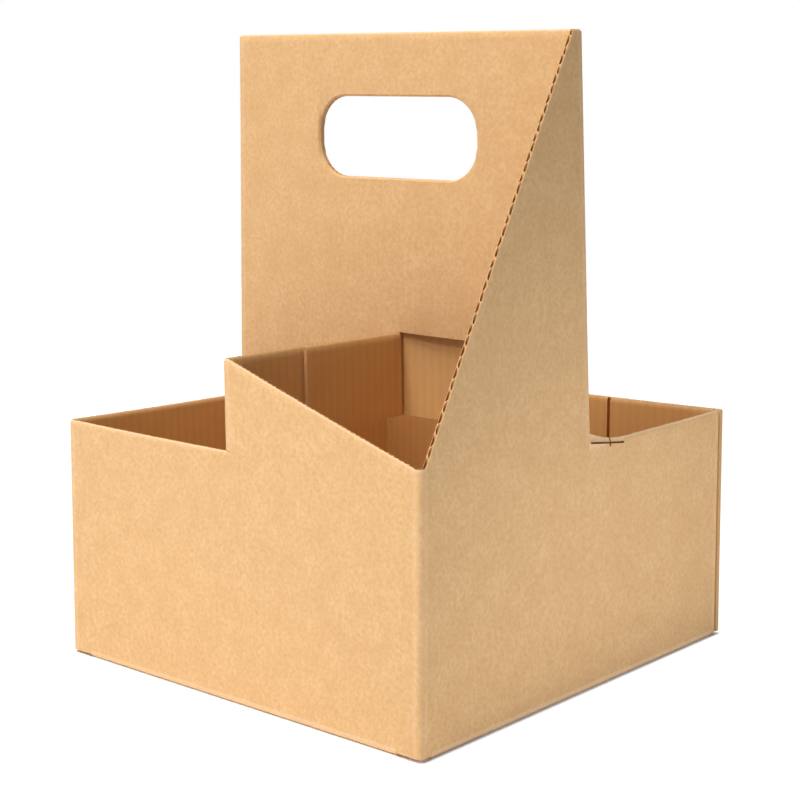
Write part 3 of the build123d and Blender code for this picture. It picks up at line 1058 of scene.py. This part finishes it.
def outer_liner(finish):
    """Smooth kraft face with clouds, specks, fibres, and folds and edges made pale by rub and painted
    highlight.
    """
    material, tree, shader = paper_material("Outer liner")
    clouds = paper_clouds(tree, 0.011, 0.0017)
    fibres = paper_fibres(tree)
    coats = [
        (ramp(tree, clouds["Clouds"], 0.36, 0.66, 0.5), finish.outer_dark),
        (ramp(tree, clouds["Specks"], 0.36, 0.68, 0.72), finish.outer_dark),
        (math_node(tree, "MULTIPLY", fibres["Fibres"], 0.24), finish.rub_and_highlight),
        # Folds and cut edges: pale rub with painted highlight.
        (rub_and_highlight_share(tree, 0.65), finish.rub_and_highlight),
    ]
    paint(tree, shader, finish.outer, coats, fibres["Height"], 0.00012)
    return material


def inner_liner(finish):
    """Browner inside face on which the flutes show as lines."""
    material, tree, shader = paper_material("Inner liner")
    clouds = paper_clouds(tree, 0.014, 0.002)
    fibres = paper_fibres(tree)
    lines = flute_lines(tree, 0.5)
    coats = [
        (ramp(tree, lines["Lines"], 0.25, 0.75, 0.32), finish.inner_dark),
        (ramp(tree, clouds["Clouds"], 0.36, 0.66, 0.3), finish.inner_dark),
        (math_node(tree, "MULTIPLY", fibres["Fibres"], 0.15), finish.outer),
        # Folds and cut edges: pale rub with painted highlight, weaker inside.
        (rub_and_highlight_share(tree, 0.3), finish.rub_and_highlight),
    ]
    paint(tree, shader, finish.inner, coats, fibres["Height"], 0.0001)
    return material


def cut_edge(finish):
    """Pale raw paper with torn fibres."""
    material, tree, shader = paper_material("Cut edge")
    specks = paper_clouds(tree, 0.004, 0.0008)["Specks"]
    coats = [(ramp(tree, specks, 0.4, 0.75, 0.7), finish.outer_dark)]
    paint(tree, shader, finish.edge, coats, specks, 0.0002)
    return material


def flute_pocket(finish):
    """Darker paper inside the flutes."""
    material, tree, shader = paper_material("Flute pocket")
    specks = paper_clouds(tree, 0.006, 0.0008)["Specks"]
    paint(tree, shader, finish.pocket, [(specks, finish.inner_dark)], specks, 0.0001)
    return material


def finishes(finish):
    """The four finishes, in the order of the kinds of face."""
    makers = {
        "Outer liner": outer_liner,
        "Inner liner": inner_liner,
        "Cut edge": cut_edge,
        "Flute pocket": flute_pocket,
    }
    return [bpy.data.materials.get(name) or make(finish) for name, make in makers.items()]


class CARRIER_OT_walls(bpy.types.Operator):
    """Folds the four walls and the glue lap"""

    bl_idname = "carrier.walls"
    bl_label = "Fold Walls"

    def execute(self, context):
        make_piece(context, "walls", wall_blocks)
        return {"FINISHED"}


class CARRIER_OT_bottom(bpy.types.Operator):
    """Folds and locks the bottom flaps"""

    bl_idname = "carrier.bottom"
    bl_label = "Lock Bottom"

    def execute(self, context):
        make_piece(context, "bottom_flaps", bottom_blocks)
        return {"FINISHED"}


class CARRIER_OT_handle(bpy.types.Operator):
    """Folds the two plies of the handle"""

    bl_idname = "carrier.handle"
    bl_label = "Fold Handle"

    def execute(self, context):
        make_piece(context, "handle_plies", handle_blocks)
        return {"FINISHED"}


class CARRIER_OT_dividers(bpy.types.Operator):
    """Folds the divider straps and the flaps that they are glued to"""

    bl_idname = "carrier.dividers"
    bl_label = "Fold Dividers"

    def execute(self, context):
        make_piece(context, "divider_straps", divider_blocks)
        return {"FINISHED"}


def looked_at(tree):
    """1 where a surface is seen directly, in gloss or through glass, and 0 where it only lights others."""
    path = add_node(tree, "LightPath").outputs
    seen = math_node(tree, "ADD", path["Is Camera Ray"], path["Is Glossy Ray"])
    return math_node(tree, "ADD", seen, path["Is Transmission Ray"], clamp=True)


def mixed_output(tree, output, share, plain, white):
    """Sends two shaders, mixed by a share, to the end of the tree."""
    mixed = add_node(tree, "MixShader", {0: share, 1: plain.outputs[0], 2: white.outputs[0]})
    tree.links.new(mixed.outputs[0], add_node(tree, output).inputs["Surface"])


def make_floor(context, stage):
    """Round pale floor that looks white beside the carrier and keeps its contact line and some shadow."""
    mesh = bpy.data.meshes.new("floor")
    angles = np.linspace(0, 2 * math.pi, FLOOR_SIDES, endpoint=False)
    rim = [(FLOOR_RADIUS * math.cos(a), FLOOR_RADIUS * math.sin(a), FLOOR_LEVEL) for a in angles]
    mesh.from_pydata(rim, [], [list(range(FLOOR_SIDES))])
    floor = bpy.data.objects.new("floor", mesh)
    context.scene.collection.objects.link(floor)
    material = bpy.data.materials.new("Floor")
    material.use_nodes = True
    tree = material.node_tree
    tree.nodes.clear()
    paper = add_node(tree, "BsdfDiffuse", {"Color": stage.floor[:]})
    white = add_node(tree, "Emission", {"Color": WHITE, "Strength": FLOOR_GLOW})
    place = add_node(tree, "TexCoord").outputs["Object"]
    parts = add_node(tree, "SeparateXYZ", {0: place}).outputs
    beside_x = math_node(tree, "SUBTRACT", math_node(tree, "ABSOLUTE", parts[0]), HALF_WIDTH)
    beside_y = math_node(tree, "SUBTRACT", math_node(tree, "ABSOLUTE", parts[1]), HALF_DEPTH)
    away = math_node(tree, "MAXIMUM", beside_x, beside_y)
    clear = ramp(tree, away, 0.0, CONTACT_WIDTH, GLOW_SHARE)
    share = math_node(tree, "MULTIPLY", looked_at(tree), clear)
    mixed_output(tree, "OutputMaterial", share, paper, white)
    mesh.materials.append(material)


def make_world(context, stage):
    """Even light from all round, white where the camera sees it."""
    world = bpy.data.worlds.new("Studio")
    context.scene.world = world
    world.use_nodes = True
    tree = world.node_tree
    tree.nodes.clear()
    soft = add_node(tree, "Background", {"Color": AMBIENT_TINT, "Strength": stage.fill})
    white = add_node(tree, "Background", {"Color": WHITE, "Strength": 1.0})
    mixed_output(tree, "OutputWorld", looked_at(tree), soft, white)


def make_light(context, name, place, target, power, width, tint):
    """A square light that looks at the target."""
    data = bpy.data.lights.new(name, "AREA")
    data.energy, data.size, data.color = power, width, tint
    lamp = bpy.data.objects.new(name, data)
    lamp.visible_camera = False
    context.scene.collection.objects.link(lamp)
    lamp.location = place
    lamp.rotation_euler = (Vector(target) - Vector(place)).to_track_quat("-Z", "Y").to_euler()


class CARRIER_OT_stage(bpy.types.Operator):
    """Sets the floor, the lights and the camera"""

    bl_idname = "carrier.stage"
    bl_label = "Set Stage"

    def execute(self, context):
        stage = context.scene.carrier_stage
        make_floor(context, stage)
        make_world(context, stage)
        for name, (place, target, share, width, tint) in LAMPS.items():
            make_light(context, name, place, target, stage.key * share, width, tint)
        data = bpy.data.cameras.new("camera")
        data.lens, data.shift_y = stage.lens, stage.shift
        camera = bpy.data.objects.new("camera", data)
        context.scene.collection.objects.link(camera)
        camera.location = stage.eye
        camera.rotation_euler = (math.pi / 2 - stage.pitch, 0, stage.heading)
        context.scene.camera = camera
        context.scene.view_settings.view_transform = "Standard"
        return {"FINISHED"}


STEPS = (CARRIER_OT_walls, CARRIER_OT_bottom, CARRIER_OT_handle, CARRIER_OT_dividers, CARRIER_OT_stage)
GROUPS = {
    "carrier_board": CarrierBoard,
    "carrier_cut": CarrierCut,
    "carrier_wear": CarrierWear,
    "carrier_finish": CarrierFinish,
    "carrier_stage": CarrierStage,
}


class CARRIER_PT_panel(bpy.types.Panel):
    """Sizes, colours and steps of the carrier"""

    bl_label = "Cup Carrier"
    bl_idname = "CARRIER_PT_panel"
    bl_space_type = "VIEW_3D"
    bl_region_type = "UI"
    bl_category = "Carrier"

    def draw(self, context):
        for step in STEPS:
            self.layout.operator(step.bl_idname)
        for attribute, group in GROUPS.items():
            box = self.layout.box()
            for name in group.__annotations__:
                box.prop(getattr(context.scene, attribute), name)


def register():
    for group in GROUPS.values():
        bpy.utils.register_class(group)
    for name, group in GROUPS.items():
        setattr(bpy.types.Scene, name, PointerProperty(type=group))
    for step in (*STEPS, CARRIER_PT_panel):
        bpy.utils.register_class(step)


def unregister():
    for step in (CARRIER_PT_panel, *reversed(STEPS)):
        bpy.utils.unregister_class(step)
    for name, group in reversed(GROUPS.items()):
        delattr(bpy.types.Scene, name)
        bpy.utils.unregister_class(group)


def main():
    register()
    bpy.ops.carrier.walls()
    bpy.ops.carrier.bottom()
    bpy.ops.carrier.handle()
    bpy.ops.carrier.dividers()
    bpy.ops.carrier.stage()


if __name__ == "__main__":
    main()
